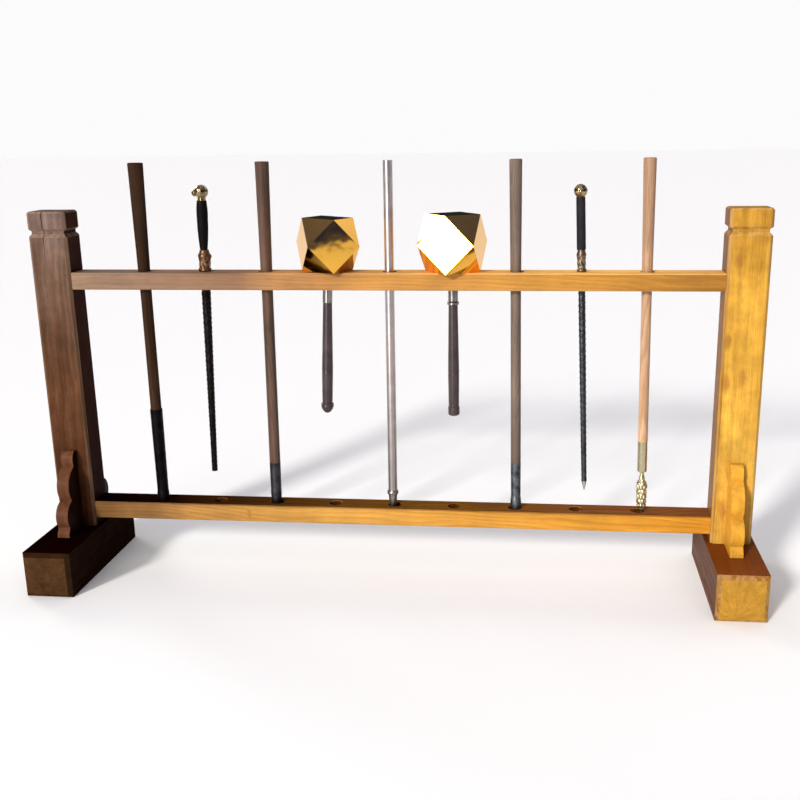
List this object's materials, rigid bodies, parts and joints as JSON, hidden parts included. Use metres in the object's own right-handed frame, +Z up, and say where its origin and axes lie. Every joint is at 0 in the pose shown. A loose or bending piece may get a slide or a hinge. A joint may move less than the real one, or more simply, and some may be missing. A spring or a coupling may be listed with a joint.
{
  "type": "martial arts weapon rack",
  "caption": "Free-standing wooden rack with two pierced rails that hold long poles upright and hang maces and many-faced hammers from the upper rail.",
  "frame": {"origin": "on the floor, at the centre of the whole rack's box", "axes": "+X along the rails to the right as seen from the front, -Y to the front, +Z up"},
  "size_m": [2.079, 0.49, 1.2043],
  "materials": {
    "brown_wood": "stained and varnished, worn at the edges",
    "honey_wood": "varnished, warm honey grain",
    "peg_wood": "plain",
    "pole_wood_brown": "varnished",
    "pole_wood_grey": "varnished, pale",
    "pole_wood_red": "varnished, reddish",
    "polished_steel": "polished",
    "black_steel": "blackened, textured",
    "grey_steel": "dark, mottled",
    "dark_iron": "dark, worn",
    "brass": "polished",
    "gilt": "aged gilt",
    "gold_plate": "mirror polished",
    "black_lacquer": "gloss black",
    "lacquered_handle": "dark red-brown lacquer"
  },
  "bodies": {
    "rack": {"bracket_dowels": "peg_wood", "left_foot": "brown_wood", "left_front_bracket": "brown_wood", "left_post": "brown_wood", "left_rear_bracket": "brown_wood", "lower_rail": "honey_wood", "post_pegs": "peg_wood", "rail_pegs": "peg_wood", "right_foot": "honey_wood", "right_front_bracket": "honey_wood", "right_post": "honey_wood", "right_rear_bracket": "honey_wood", "upper_rail": "honey_wood"},
    "pole_1": {"pole_1_butt": "dark_iron", "pole_1_shaft": "pole_wood_brown"},
    "pole_2": {"pole_2_butt": "dark_iron", "pole_2_shaft": "pole_wood_brown"},
    "pole_3": {"pole_3_lower_plug": "polished_steel", "pole_3_ring": "polished_steel", "pole_3_tube": "polished_steel", "pole_3_upper_plug": "polished_steel"},
    "pole_4": {"pole_4_butt": "dark_iron", "pole_4_shaft": "pole_wood_grey"},
    "pole_5": {"pole_5_butt": "brass", "pole_5_ferrule": "brass", "pole_5_shaft": "pole_wood_red"},
    "left_mace": {"left_mace_blade": "black_steel", "left_mace_grip": "black_lacquer", "left_mace_guard": "gilt", "left_mace_pommel": "gilt"},
    "right_mace": {"right_mace_blade": "grey_steel", "right_mace_grip": "black_lacquer", "right_mace_guard": "gilt", "right_mace_pommel": "gilt", "right_mace_tip": "polished_steel"},
    "left_hammer": {"left_hammer_core": "polished_steel", "left_hammer_handle": "lacquered_handle", "left_hammer_head": "gold_plate", "left_hammer_knob": "lacquered_handle", "left_hammer_neck": "polished_steel"},
    "right_hammer": {"right_hammer_core": "polished_steel", "right_hammer_handle": "lacquered_handle", "right_hammer_head": "gold_plate", "right_hammer_knob": "lacquered_handle", "right_hammer_neck": "polished_steel"}
  },
  "joints": [
    {"name": "pole_1_lift", "type": "slide", "parent": "rack", "child": "pole_1", "axis": [0, 0, 1], "range_m": [0, 0.753]},
    {"name": "pole_2_lift", "type": "slide", "parent": "rack", "child": "pole_2", "axis": [0.0105, 0, 0.9999], "range_m": [0, 0.753]},
    {"name": "pole_3_lift", "type": "slide", "parent": "rack", "child": "pole_3", "axis": [0.007, 0, 1], "range_m": [0, 0.753]},
    {"name": "pole_4_lift", "type": "slide", "parent": "rack", "child": "pole_4", "axis": [-0.0087, 0, 1], "range_m": [0, 0.753]},
    {"name": "pole_5_lift", "type": "slide", "parent": "rack", "child": "pole_5", "axis": [-0.0157, 0, 0.9999], "range_m": [0, 0.753]},
    {"name": "left_mace_lift", "type": "slide", "parent": "rack", "child": "left_mace", "axis": [0.0227, 0, 0.9997], "range_m": [0, 0.628]},
    {"name": "right_mace_lift", "type": "slide", "parent": "rack", "child": "right_mace", "axis": [-0.0366, 0, 0.9993], "range_m": [0, 0.662]},
    {"name": "left_hammer_lift", "type": "slide", "parent": "rack", "child": "left_hammer", "axis": [0.0401, 0, 0.9992], "range_m": [0, 0.445]},
    {"name": "right_hammer_lift", "type": "slide", "parent": "rack", "child": "right_hammer", "axis": [0, 0, 1], "range_m": [0, 0.445]}
  ]
}
